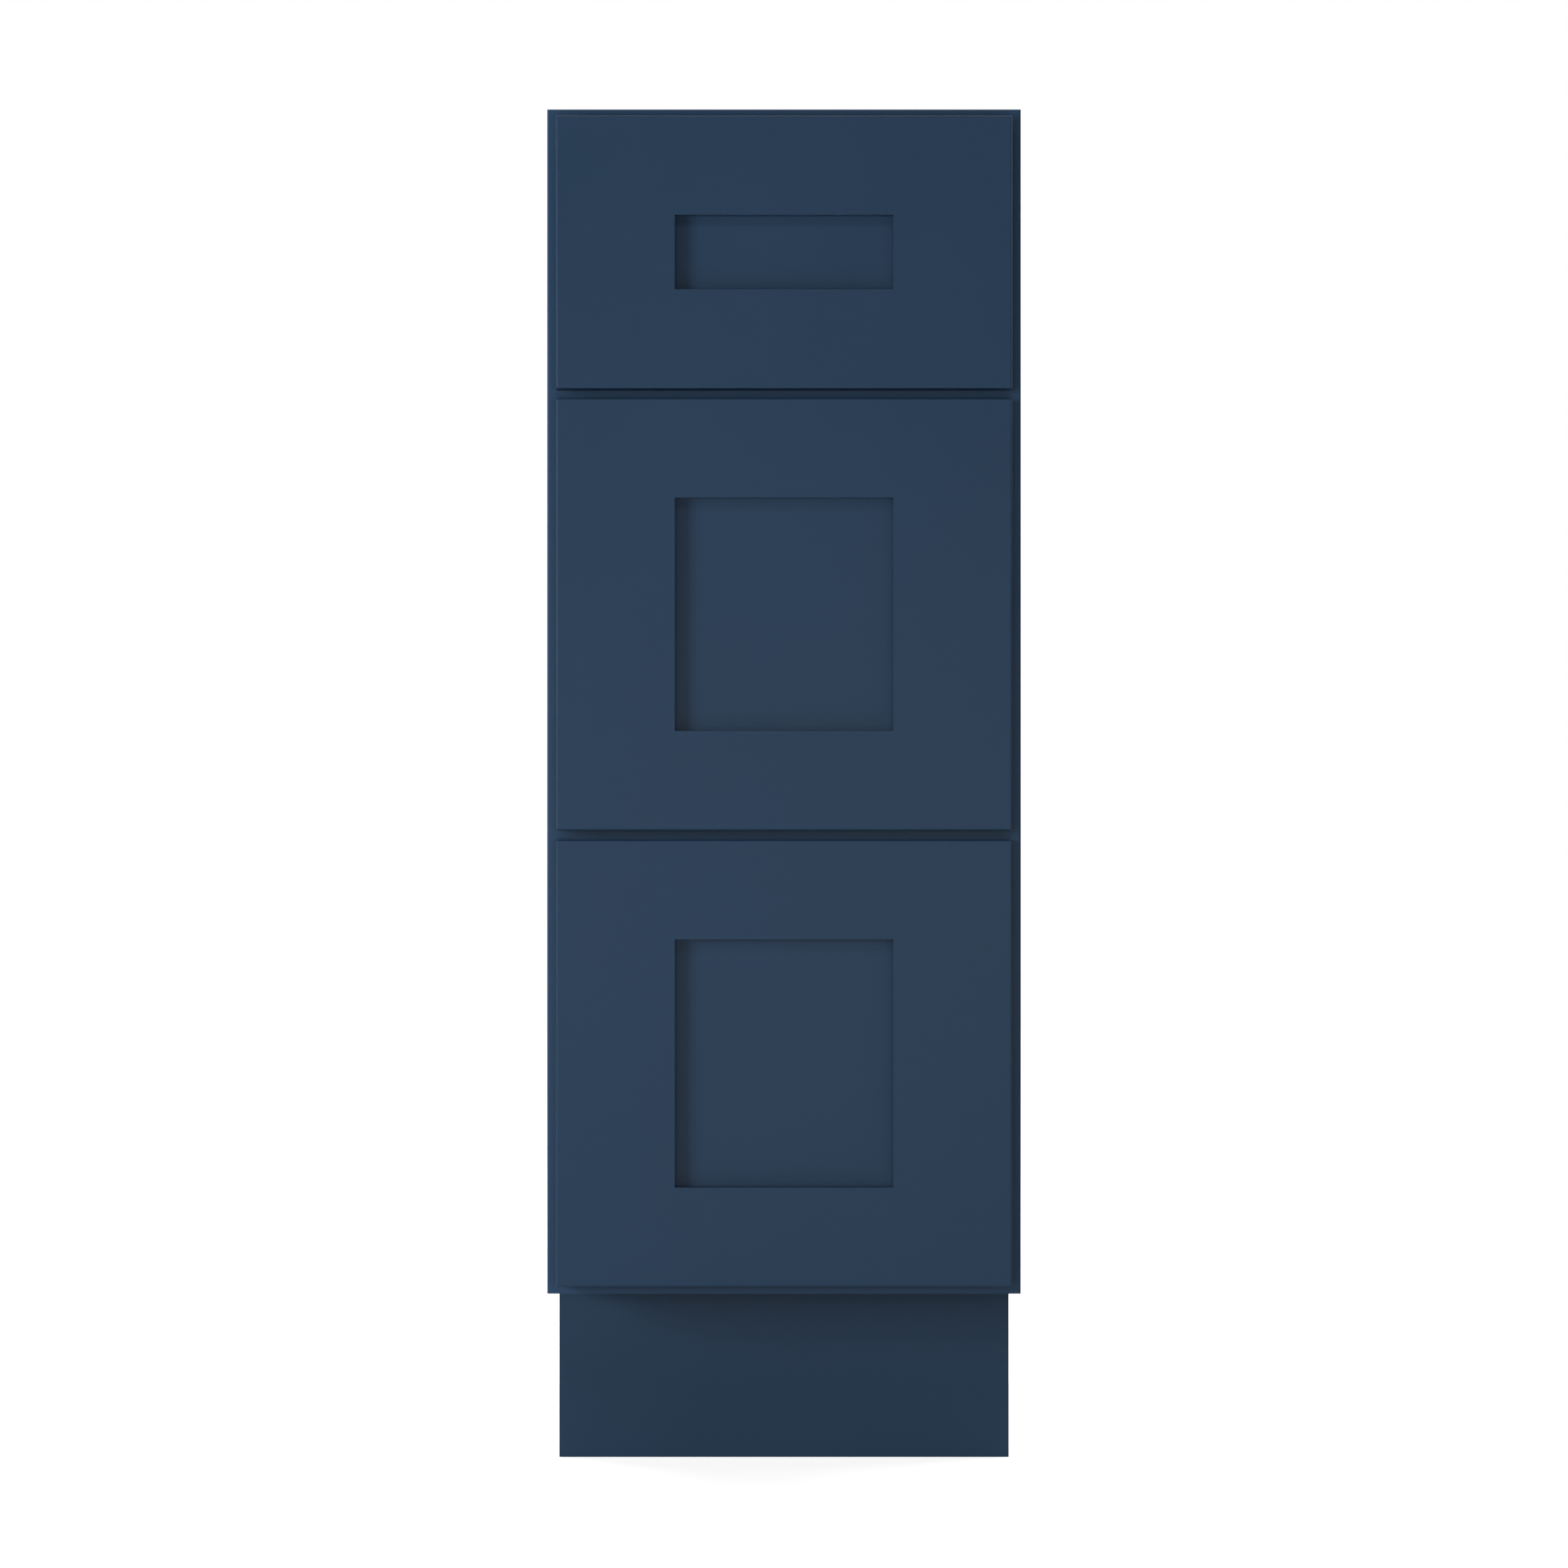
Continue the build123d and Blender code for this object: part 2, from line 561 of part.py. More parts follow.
def release_lever(base):
    """The lever on the right clip's pin: a hub, a latch into the upper rail's window and a finger pad."""
    x, y = PIVOT_X, behind(PIVOT_BEHIND)
    low, high = base + LEVER_LOW, base + LEVER_HIGH
    lever = post(x, y, low, LEVER_HUB, high - low)
    for end in ((LATCH_ROOT, sum(LATCH_BACK) / 2), (-PAD_THICK / 2, PAD_BACK[1])):
        arm = trace(Line((x, y), (x + end[0], y + end[1])), line_width=LEVER_ARM)
        lever += Pos(0, 0, low) * extrude(arm, high - low, dir=(0, 0, 1))
    lever += block((x + LATCH_ROOT / 2, LATCH_TIP_X), [y + back for back in LATCH_BACK], (low, high))
    pad_low = base + PAD_LOW
    pad = block((x - PAD_THICK, x), [y + back for back in PAD_BACK], (pad_low, high))
    lever += rounded(pad, PAD_ROUND, lambda edge, c: same(edge.length, high - pad_low))
    for number in range(1, GRIP_RIBS + 1):
        rib_y = y + PAD_BACK[0] + GRIP_PITCH * number
        lever += post(x - PAD_THICK, rib_y, pad_low, GRIP_RADIUS, high - pad_low)
    return lever - post(x, y, low, PIN_RADIUS + PIN_CLEARANCE, high - low)


# ---------------------------------------------------------------------------------------------------
# A drawer


def front_frame(low, high):
    """The right stile and the two rails round a front's panel, softened along their outer edges."""
    edge_x, inner = FRONT_WIDTH / 2, FRONT_WIDTH / 2 - FRONT_STILE
    reach = inner + PANEL_GROOVE
    groove_z = (low + FRONT_RAIL - PANEL_GROOVE, high - FRONT_RAIL + PANEL_GROOVE)
    groove = deep_block((-reach, reach), PANEL_FACE, PANEL_REAR, groove_z)

    def on_outside(edge, c):
        outside = same(c.X, edge_x) or same(c.Z, low) or same(c.Z, high)
        return same(c.Y, behind(FRONT_FACE)) and outside

    stile = deep_block((inner, edge_x), FRONT_FACE, BOX_FACE, (low, high))
    stile = rounded(stile, EDGE_ROUND, on_outside)
    rails = []
    for z in ((low, low + FRONT_RAIL), (high - FRONT_RAIL, high)):
        rail = rounded(deep_block((-inner, inner), FRONT_FACE, BOX_FACE, z), EDGE_ROUND, on_outside)
        tenon_z = (max(z[0], low + PANEL_GROOVE), min(z[1], high - PANEL_GROOVE))
        tenon = deep_block((-reach, reach), PANEL_FACE, PANEL_REAR, tenon_z)
        rails.append(rail + tenon - groove)
        stile -= tenon
    return stile - groove, rails


def front_panel(low, high):
    """The flat panel, loose in the groove of the stiles and rails."""
    half = FRONT_WIDTH / 2 - FRONT_STILE + PANEL_GROOVE - PANEL_FLOAT
    cover = FRONT_RAIL - PANEL_GROOVE + PANEL_FLOAT
    return deep_block((-half, half), PANEL_FACE, PANEL_REAR, (low + cover, high - cover))


def tails(base, height, face, step):
    """The dovetails on one end of the right side. The face is the outside of the board they join."""
    root = face + step * BOARD
    tip = root - step * TAIL_LENGTH
    count = int(height // TAIL_PITCH)
    wide, narrow = TAIL_WIDE / 2, TAIL_NARROW / 2
    found = []
    for number in range(count):
        z = base + height / 2 + (number - (count - 1) / 2) * TAIL_PITCH
        outline = ((tip, z - wide), (tip, z + wide), (root, z + narrow), (root, z - narrow))
        found.append(across_x(outline, (BOX_IN, BOX_HALF)))
    return found


def box_board(x, near, far, base, height):
    """A board of the drawer box, softened along the two long edges of its top."""
    board = deep_block(x, near, far, (base, base + height))
    length = max(x[1] - x[0], far - near)
    return rounded(board, FINE_ROUND, lambda edge, c: same(c.Z, base + height) and same(edge.length, length))


def drawer_box(name, base, height):
    """Four dovetailed boards with the bottom panel in their groove."""
    housed = BOX_IN + DADO
    bottom_z = (base + BOTTOM_RECESS, base + BOTTOM_RECESS + BOTTOM_THICK)
    bottom = deep_block((-housed, housed), BOX_FACE + BOARD - DADO, BOX_REAR - BOARD + DADO, bottom_z)
    side = box_board((BOX_IN, BOX_HALF), BOX_FACE + BOARD, BOX_REAR - BOARD, base, height)
    ends = []
    for face, step in ((BOX_FACE, 1), (BOX_REAR, -1)):
        near, far = sorted((face, face + step * BOARD))
        joint = tails(base, height, face, step)
        for tail in joint:
            side += tail
        ends.append(without(box_board((-BOX_HALF, BOX_HALF), near, far, base, height), *joint))
    front, back = ends
    holes = [clearance_hole(start, way, BOARD) for start, way, _ in front_screws(base, height)]
    front = without(front, *holes, *[pilot(*place) for place in clip_screws(base)])
    notch_x, notch_z = (inward(RUNNER_NOTCH), BOX_IN), (base, base + BOTTOM_RECESS)
    notch = deep_block(notch_x, BOX_REAR - BOARD, BOX_REAR, notch_z)
    hook_start = (inward(HOOK_INWARD), behind(BOX_REAR), base + HOOK_HEIGHT)
    hook_hole = rod(hook_start, FORWARD, HOOK_RADIUS + HOOK_CLEARANCE, HOOK_DEPTH + PILOT_DEEPER)
    save(f"{name}_box_side_right", side - bottom)
    save(f"{name}_box_side_left", mirrored(side - bottom))
    save(f"{name}_box_front", front - bottom)
    save(f"{name}_box_back", without(back, notch, hook_hole) - bottom)
    save(f"{name}_box_bottom", bottom)


def drawer(name, span, base, height):
    """One drawer: its front, its box and what moves with or beside it."""
    stile, rails = front_frame(*span)
    for place in front_screws(base, height):
        stile -= pilot(*place)
    save(f"{name}_front_stiles", *both_sides(stile))
    save(f"{name}_front_rails", *rails)
    save(f"{name}_front_panel", front_panel(*span))
    drawer_box(name, base, height)
    save_pairs(f"{name}_upper_runners", [upper_runner(base)])
    save_pairs(f"{name}_middle_runners", [middle_runner(base)])
    save_pairs(f"{name}_locking_clips", [locking_clip(base)])
    save(f"{name}_release_lever_right", release_lever(base))
    save(f"{name}_release_lever_left", mirrored(release_lever(base)))
    places = front_screws(base, height) + clip_screws(base)
    save_pairs(f"{name}_screws", [screw(*place) for place in places])


# ---------------------------------------------------------------------------------------------------
# The whole cabinet

save("side_panel_right", side_panel())
save("side_panel_left", mirrored(side_panel()))
save("floor_panel", floor_panel())
save("back_panel", back_panel())
save("toe_kick_board", toe_kick())
save("hanging_rail", hanging_rail())
save("frame_stile_right", frame_stile())
save("frame_stile_left", mirrored(frame_stile()))
for place_name, centre in zip(("top", "upper_mid", "lower_mid", "bottom"), RAIL_CENTRES):
    save(f"frame_{place_name}_rail", frame_rail(centre))
front_corner, rear_corner = behind(FRAME_THICK), behind(NAILER_FACE)
save_pairs("corner_brackets", [corner_bracket(front_corner, 1), corner_bracket(rear_corner, -1)])
save_pairs("frame_bumpers", bumpers())
save_pairs("fixed_runners", [fixed_runner(base) for base in BOX_BASES])
save_pairs("rear_runner_brackets", [rear_socket(base) for base in BOX_BASES])
save_pairs("soft_close_dampers", [damper(base) for base in BOX_BASES])
cabinet_places = bracket_screws() + runner_screws() + socket_screws()
save_pairs("cabinet_screws", [screw(*place) for place in cabinet_places])
for place_name, span, base, height in zip(("top", "middle", "bottom"), FRONT_SPANS, BOX_BASES, BOX_HEIGHTS):
    drawer(f"{place_name}_drawer", span, base, height)

os.makedirs("parts", exist_ok=True)
for node, solids in parts.items():
    export_step(Compound(solids), f"parts/{node}.step")
    print(node, len(solids), "solids")
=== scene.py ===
import math
from typing import NamedTuple

import bmesh
import bpy
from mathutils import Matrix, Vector


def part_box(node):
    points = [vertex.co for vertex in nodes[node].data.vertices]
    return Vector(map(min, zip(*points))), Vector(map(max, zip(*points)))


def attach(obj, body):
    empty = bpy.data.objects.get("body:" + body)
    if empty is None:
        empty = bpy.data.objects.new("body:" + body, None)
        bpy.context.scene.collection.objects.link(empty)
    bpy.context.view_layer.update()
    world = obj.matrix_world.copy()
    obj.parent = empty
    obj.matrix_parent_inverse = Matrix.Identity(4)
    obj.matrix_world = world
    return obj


# Looks for a narrow three-drawer vanity base: satin navy paint on its face frame, fronts and outer sides,
# clear-coated plywood and maple inside, zinc-plated runners and moulded clips. Metres, in the CAD frame:
# X to the right, Y from the drawer fronts to the wall, Z up from the floor.

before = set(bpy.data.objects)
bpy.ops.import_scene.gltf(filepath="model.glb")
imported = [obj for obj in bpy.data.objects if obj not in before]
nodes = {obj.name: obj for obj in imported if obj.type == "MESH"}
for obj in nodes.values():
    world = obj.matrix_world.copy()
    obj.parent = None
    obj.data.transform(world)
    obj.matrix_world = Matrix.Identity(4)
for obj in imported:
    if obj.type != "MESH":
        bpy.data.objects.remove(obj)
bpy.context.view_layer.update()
MM = 0.001
X, Y, Z = 0, 1, 2
AXIS_NAMES = "xyz"
DRAWERS = ("top", "middle", "bottom")

# ---------------------------------------------------------------------------------------------------
# Colours, as linear red, green and blue, and the measures of plywood and grain

NAVY = (0.0130, 0.0376, 0.0785)
NAVY_LIGHT = (0.0148, 0.0410, 0.0840)
NAVY_SPECK = (0.0190, 0.0475, 0.0940)
BOUNCE_LIGHT_LIFT = 1.32  # painted bounce light: the face frame and sides get a lighter copy of the drawer fronts' navy, in place of light bounced onto the frame beside and between the fronts

# The light and the dark tone of each wood
BIRCH = ((0.70, 0.54, 0.36), (0.53, 0.37, 0.22))
MAPLE = ((0.74, 0.57, 0.38), (0.58, 0.41, 0.25))
MAPLE_PLY = ((0.74, 0.59, 0.41), (0.60, 0.45, 0.29))
PORE_TONE = 0.62  # share of the dark tone
GLUE_TONE = 0.35
RING_TURN = 58.0  # radians of growth ring from one end of the broad noise to the other
FIBRE_RELIEF, STREAK_RELIEF, CROSS_PLY_RELIEF = 0.7, 0.3, -0.8
CABINET_PLY = 1.4 * MM
DRAWER_BOTTOM_PLY = 1.06 * MM
PLY_WANDER = 0.12 * MM

ZINC_GREY = (0.60, 0.61, 0.62)
ZINC_COOL = (0.50, 0.54, 0.60)
SCREW_SHADE = 0.86
SPANGLE = 0.07
BRACKET_GREY = (0.30, 0.31, 0.32)
LEVER_GREY = (0.47, 0.48, 0.49)
CAGE_WHITE = (0.62, 0.62, 0.60)
PLASTIC_DARKEST, PLASTIC_LIGHTEST = 0.88, 1.1  # shares of a plastic's colour
RUBBER_DULL = (0.74, 0.76, 0.76)
RUBBER_CLEAR = (0.90, 0.91, 0.91)


def toned(colour, share=1.0):
    """An opaque colour, lighter or darker by a share."""
    return tuple(share * part for part in colour) + (1,)


# ---------------------------------------------------------------------------------------------------
# Materials. Texture coordinates are each object's own, which are metres in the CAD frame.


class Shader:
    """A material under construction. Its methods add nodes and give back their output sockets."""

    def __init__(self, name, **fixed):
        self.material = bpy.data.materials.new(name)
        self.material.use_nodes = True
        self.tree = self.material.node_tree
        self.surface = self.tree.nodes["Principled BSDF"]
        for socket, value in fixed.items():
            self.surface.inputs[socket.replace("_", " ")].default_value = value
        coordinates = self.node("TexCoord")
        self.place = coordinates.outputs["Object"]
        self.facing = coordinates.outputs["Normal"]

    def node(self, kind, inputs=None, **settings):
        made = self.tree.nodes.new("ShaderNode" + kind)
        for key, value in settings.items():
            setattr(made, key, value)
        for socket, value in (inputs or {}).items():
            self.put(made.inputs[socket], value)
        return made

    def put(self, socket, value):
        if isinstance(value, bpy.types.NodeSocket):
            self.tree.links.new(value, socket)
        else:
            socket.default_value = value

    def math(self, operation, a, b=0.0):
        return self.node("Math", {0: a, 1: b}, operation=operation).outputs[0]

    def sum(self, *values):
        total = values[0]
        for value in values[1:]:
            total = self.math("ADD", total, value)
        return total

    def scaled(self, scale=(1, 1, 1), offset=(0, 0, 0)):
        """The object's coordinates times a scale along each axis, plus an offset."""
        inputs = {"Vector": self.place, "Scale": scale, "Location": offset}
        return self.node("Mapping", inputs).outputs[0]

    def noise(self, vector, scale=1.0, detail=2.0, roughness=0.5, distortion=0.0):
        inputs = {"Vector": vector, "Scale": scale, "Detail": detail, "Roughness": roughness,
                  "Distortion": distortion}
        return self.node("TexNoise", inputs).outputs[0]

    def cells(self, vector):
        return self.node("TexVoronoi", {"Vector": vector, "Scale": 1.0}).outputs["Color"]

    def spread(self, value, low, high, start=0.0, end=1.0):
        """The value's range from start to end, stretched and clamped to low to high."""
        inputs = {"Value": value, "From Min": start, "From Max": end, "To Min": low, "To Max": high}
        return self.node("MapRange", inputs).outputs[0]

    def even(self, noise, low=0.0, high=1.0):
        """The middle of a noise's range, where most of it lies, spread over low to high."""
        return self.spread(noise, low, high, 0.3, 0.7)

    def blend(self, share, a, b, mode="MIX"):
        made = self.node("Mix", data_type="RGBA", blend_type=mode)
        for socket, value in ((0, share), (6, a), (7, b)):
            self.put(made.inputs[socket], value)
        return made.outputs[2]

    def along(self, axis):
        """How far the surface faces along an axis, from 0 to 1."""
        parts = self.node("SeparateXYZ", {0: self.facing})
        return self.math("ABSOLUTE", parts.outputs[axis])

    def coordinate(self, axis):
        return self.node("SeparateXYZ", {0: self.place}).outputs[axis]

    def bump(self, height, distance, strength=1.0, under=None):
        inputs = {"Height": height, "Distance": distance, "Strength": strength}
        if under is not None:
            inputs["Normal"] = under
        return self.node("Bump", inputs).outputs[0]

    def finish(self, colour, roughness, normal):
        for socket, value in (("Base Color", colour), ("Roughness", roughness), ("Normal", normal)):
            self.put(self.surface.inputs[socket], value)
        return self.material


def stretched(axis, across, along):
    """Scales for a pattern that runs along one axis."""
    return tuple(along if number == axis else across for number in (X, Y, Z))


def navy_paint(name, grain, lift=1.0):
    """Sprayed satin lacquer: fine orange peel, slight unevenness, and the wood's grain barely felt."""
    s = Shader(name, Specular_IOR_Level=0.18)
    # lift makes a lighter copy of the paint; the face frame's and sides' copy is painted bounce light
    base, light, dot = (toned(colour, lift) for colour in (NAVY, NAVY_LIGHT, NAVY_SPECK))
    peel = s.noise(s.place, scale=420, detail=2.5, roughness=0.55)
    felt = s.noise(s.scaled(stretched(grain, across=900, along=26)), detail=3, roughness=0.6)
    cloud = s.noise(s.place, scale=5.5, detail=4, roughness=0.55)
    speck = s.noise(s.place, scale=1500, detail=1)
    colour = s.blend(s.even(cloud), base, light)
    colour = s.blend(s.spread(speck, 0, 0.12, 0.4, 0.7), colour, dot)
    rough = s.sum(s.even(cloud, 0.36, 0.43), s.spread(felt, -0.02, 0.02))
    peel_bump = s.bump(peel, distance=0.03 * MM, strength=0.6)
    return s.finish(colour, rough, s.bump(felt, distance=0.012 * MM, strength=0.5, under=peel_bump))


class Plies(NamedTuple):
    """How plywood is stacked: along which axis, from which coordinate, and how thick each ply is."""

    axis: int
    low: float
    thick: float


board_numbers = iter(range(1, 1000))


def next_offset():
    """A different part of the wood for each board."""
    step = next(board_numbers)
    return (3.1 * step, 1.7 * step, 2.3 * step)


def ply_bands(s, plies, cloud, offset, light, dark, deep):
    """The colour of plywood's edge, how much each ply runs across, and where the surface is an edge."""
    wander = s.math("MULTIPLY", s.spread(cloud, -1, 1), PLY_WANDER)
    depth = s.math("SUBTRACT", s.sum(s.coordinate(plies.axis), wander), plies.low)
    count = s.math("DIVIDE", depth, 2 * plies.thick)
    wave = s.math("ABSOLUTE", s.math("SUBTRACT", s.math("FRACT", count), 0.5))
    cross = s.spread(wave, 0, 1, 0.22, 0.28)
    glue = s.spread(s.math("ABSOLUTE", s.math("SUBTRACT", wave, 0.25)), 0.55, 0, 0.0, 0.035)
    pores = s.even(s.noise(s.scaled(offset=offset), scale=1100, detail=3, roughness=0.7))
    banded = s.blend(cross, s.blend(pores, dark, light), s.blend(pores, deep, dark))
    banded = s.blend(glue, banded, toned(dark[:3], GLUE_TONE))
    return banded, cross, s.spread(s.along(plies.axis), 1, 0, 0.4, 0.6)


def end_grain(s, grain, offset, dark, deep):
    """The colour of a board's end, with its growth rings, and where the surface is an end."""
    rings = s.node("TexWave", {"Vector": s.scaled(offset=offset), "Scale": 95.0, "Distortion": 5.0,
                               "Detail": 3.0, "Detail Scale": 0.6},
                   wave_type="RINGS", rings_direction=AXIS_NAMES[grain].upper()).outputs["Fac"]
    return s.blend(s.spread(rings, 0.1, 0.8), deep, dark), s.spread(s.along(grain), 0, 1, 0.6, 0.8)


def wood(name, grain, tones, plies=None):
    """Clear-coated wood with its grain along one axis. Solid wood shows growth rings on its ends, and
    plywood shows its plies as bands on its edges."""
    s = Shader(name, Specular_IOR_Level=0.4, Coat_Weight=0.12, Coat_Roughness=0.25)
    light, dark = (toned(tone) for tone in tones)
    deep = toned(tones[1], PORE_TONE)
    offset = next_offset()

    def grained(across, along, **settings):
        return s.noise(s.scaled(stretched(grain, across, along), offset), **settings)

    broad = grained(26, 1.5, detail=2, distortion=0.35)
    rings = s.math("SINE", s.math("MULTIPLY", broad, RING_TURN))
    streak = grained(260, 5, detail=4, roughness=0.62)
    fibre = grained(1700, 34, detail=3, roughness=0.6)
    fleck = grained(800, 75, detail=1)
    cloud = s.noise(s.scaled(offset=offset), scale=7, detail=3)
    tone = s.sum(s.spread(rings, -0.16, 0.16, -1, 1), s.spread(streak, 0.02, 0.98, 0.25, 0.75),
                 s.even(cloud, -0.2, 0.2), s.even(fibre, -0.12, 0.12))
    colour = s.blend(s.spread(tone, 0, 1), dark, light)
    colour = s.blend(s.spread(fleck, 0, 0.5, 0.66, 0.74), colour, deep)
    relief = s.sum(s.math("MULTIPLY", fibre, FIBRE_RELIEF), s.math("MULTIPLY", streak, STREAK_RELIEF))
    if plies is None:
        end_colour, ends = end_grain(s, grain, offset, dark, deep)
        colour = s.blend(ends, colour, end_colour)
    else:
        banded, cross, edges = ply_bands(s, plies, cloud, offset, light, dark, deep)
        colour = s.blend(edges, colour, banded)
        relief = s.sum(relief, s.math("MULTIPLY", s.math("MULTIPLY", cross, edges), CROSS_PLY_RELIEF))
    return s.finish(colour, s.even(fibre, 0.37, 0.51), s.bump(relief, distance=0.05 * MM, strength=0.7))


def zinc_steel(name, rolled, shade=1.0):
    """Zinc-plated sheet: faint spangle, rolling marks along one axis and a slight blue cast in places."""
    s = Shader(name, Metallic=1.0)
    spangle = s.cells(s.scaled(stretched(rolled, across=300, along=150)))
    marks = s.noise(s.scaled(stretched(rolled, across=1600, along=14)), detail=4, roughness=0.65)
    cloud = s.noise(s.place, scale=22, detail=4, roughness=0.6)
    colour = s.blend(s.spread(cloud, 0, 0.7, 0.35, 0.75), toned(ZINC_GREY, shade), toned(ZINC_COOL, shade))
    colour = s.blend(SPANGLE, colour, spangle, "SOFT_LIGHT")
    rough = s.sum(s.even(cloud, 0.24, 0.40), s.even(marks, -0.06, 0.06))
    return s.finish(colour, rough, s.bump(marks, distance=0.012 * MM, strength=0.6))


def plastic(name, colour, rough):
    """Moulded plastic with a fine spark-eroded texture and a little unevenness."""
    s = Shader(name, Specular_IOR_Level=0.45)
    texture = s.noise(s.place, scale=1900, roughness=0.6)
    cloud = s.noise(s.place, scale=45, detail=3)
    uneven = s.blend(s.even(cloud), toned(colour, PLASTIC_DARKEST), toned(colour, PLASTIC_LIGHTEST))
    roughness = s.even(texture, rough - 0.07, rough + 0.08)
    return s.finish(uneven, roughness, s.bump(texture, distance=0.04 * MM, strength=0.6))


def clear_rubber(name):
    """A soft clear dot, slightly cloudy."""
    s = Shader(name, Transmission_Weight=0.85, IOR=1.42)
    cloud = s.noise(s.place, scale=380, detail=3)
    colour = s.blend(s.even(cloud), toned(RUBBER_DULL), toned(RUBBER_CLEAR))
    return s.finish(colour, s.spread(cloud, 0.14, 0.3), s.bump(cloud, distance=0.03 * MM, strength=0.5))


paints = {axis: navy_paint("navy_paint_" + AXIS_NAMES[axis], axis) for axis in (X, Z)}
# Lighter copies of the navy paint for the face frame and sides: painted bounce light, not a second paint
# colour
bounce_lit_paints = {axis: navy_paint("bounce_lit_paint_" + AXIS_NAMES[axis], axis, BOUNCE_LIGHT_LIFT)
                  for axis in (X, Z)}
steel = zinc_steel("zinc_steel", Y)
screw_steel = zinc_steel("screw_steel", Z, SCREW_SHADE)
grey_plastic = plastic("grey_plastic", BRACKET_GREY, 0.5)
lever_plastic = plastic("lever_plastic", LEVER_GREY, 0.46)
cage_plastic = plastic("cage_plastic", CAGE_WHITE, 0.42)
rubber = clear_rubber("clear_rubber")

# ---------------------------------------------------------------------------------------------------
# Finishing the CAD nodes

FACING = 0.7  # a face whose normal has more than this along an axis faces that way
SQUARE_ON = 0.9  # the same for a face without its rounded edges
SKIN = 0.1 * MM  # how far behind a panel's outer face a face still belongs to it


def dress(name, *materials, choose=None):
    """Gives a node its materials. The test gets a face's normal and centre and picks the material."""
    mesh = nodes[name].data
    mesh.materials.clear()
    for material in materials:
        mesh.materials.append(material)
    for face in mesh.polygons:
        face.material_index = choose(face.normal, face.center) if choose else 0


def plywood(name, grain, stack, tones=BIRCH, thick=CABINET_PLY):
    """A sheet's own plywood, whose plies count from the sheet's lower face."""
    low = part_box(name)[0][stack]
    return wood(name, grain, tones, Plies(stack, low, thick))


def dress_face_frame():
    """Painted, with bare maple on the rear faces inside the cabinet."""
    side_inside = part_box("side_panel_right")[0].x
    rear_maple = {axis: wood("frame_maple_" + AXIS_NAMES[axis], axis, MAPLE) for axis in (X, Z)}

    def bare_behind(normal, centre):
        return 1 if normal.y > FACING and abs(centre.x) < side_inside else 0

    # The frame's lighter navy is painted bounce light.
    for side in ("right", "left"):
        dress(f"frame_stile_{side}", bounce_lit_paints[Z], rear_maple[Z], choose=bare_behind)
    for place in ("top", "upper_mid", "lower_mid", "bottom"):
        dress(f"frame_{place}_rail", bounce_lit_paints[X], rear_maple[X], choose=bare_behind)


def dress_side_panel(side, way):
    """Painted on its outer face and bare on the rest."""
    name = f"side_panel_{side}"
    outside = max(way * corner.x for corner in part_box(name))

    def bare_inside(normal, centre):
        return 0 if normal.x * way > SQUARE_ON and centre.x * way > outside - SKIN else 1

    # The outer face's lighter navy is painted bounce light, the same as on the face frame.
    dress(name, bounce_lit_paints[Z], plywood(name, Z, X), choose=bare_inside)


def bare_toe_faces(normal, centre):
    """The toe kick board is painted in front and at its ends."""
    return 0 if normal.y < -FACING or abs(normal.x) > FACING else 1


def dress_cabinet():
    dress_face_frame()
    dress_side_panel("right", 1)
    dress_side_panel("left", -1)
    dress("toe_kick_board", paints[X], plywood("toe_kick_board", X, Y), choose=bare_toe_faces)
    dress("floor_panel", plywood("floor_panel", Y, Z))
    dress("back_panel", plywood("back_panel", Z, Y))
    dress("hanging_rail", plywood("hanging_rail", X, Y))
    for name in ("corner_brackets", "rear_runner_brackets", "soft_close_dampers"):
        dress(name, grey_plastic)
    dress("frame_bumpers", rubber)
    dress("fixed_runners", steel)
    dress("cabinet_screws", screw_steel)


def dress_drawer(drawer):
    prefix = f"{drawer}_drawer_"
    dress(prefix + "front_stiles", paints[Z])
    dress(prefix + "front_rails", paints[X])
    dress(prefix + "front_panel", paints[Z])
    for board, grain in (("box_side_right", Y), ("box_side_left", Y), ("box_front", X), ("box_back", X)):
        dress(prefix + board, wood(prefix + board, grain, MAPLE))
    dress(prefix + "box_bottom", plywood(prefix + "box_bottom", Y, Z, MAPLE_PLY, DRAWER_BOTTOM_PLY))
    dress(prefix + "upper_runners", steel)
    dress(prefix + "middle_runners", steel)
    dress(prefix + "locking_clips", grey_plastic)
    dress(prefix + "screws", screw_steel)
    for side in ("right", "left"):
        dress(prefix + f"release_lever_{side}", lever_plastic)


dress_cabinet()
for drawer in DRAWERS:
    dress_drawer(drawer)

# ---------------------------------------------------------------------------------------------------
# Roller cages between the runners' rails: a ladder strip of plastic with rollers set across it, and
# smaller upright ones in its legs. All in millimetres: across from the middle of a rail, back from the
# middle rail's front end, and up from the underside of that rail's top.


class Cage(NamedTuple):
    """The measures of one cage. It wraps a rail, and its legs hang down the rail's sides."""

    start: float
    end: float
    half: float  # to the outside of the legs
    top: float
    foot: float
    roller: float  # radius
    roller_half: float  # half the length
    pitch: float


CAGE_SHEET = 0.5
RUNG = 3.0
ROLLER_ROOM = 1.04  # the rungs are this much longer than the rollers
SIDE_ROLLER = 0.72
SIDE_ROLLER_LONG = 5.0
CHAMFER = 0.25  # share of a roller's radius
FACETS = 20
RAIL_HALF = 8.8  # half the width of the middle rail
RAIL_SHEET = 1.2
INNER_CAGE = Cage(217, 411, half=7.0, top=-1.15, foot=-10.5, roller=1.3, roller_half=4.5, pitch=13)
OUTER_CAGE = Cage(45, 201, half=9.85, top=4.6, foot=-7.5, roller=3.05, roller_half=6.0, pitch=22)


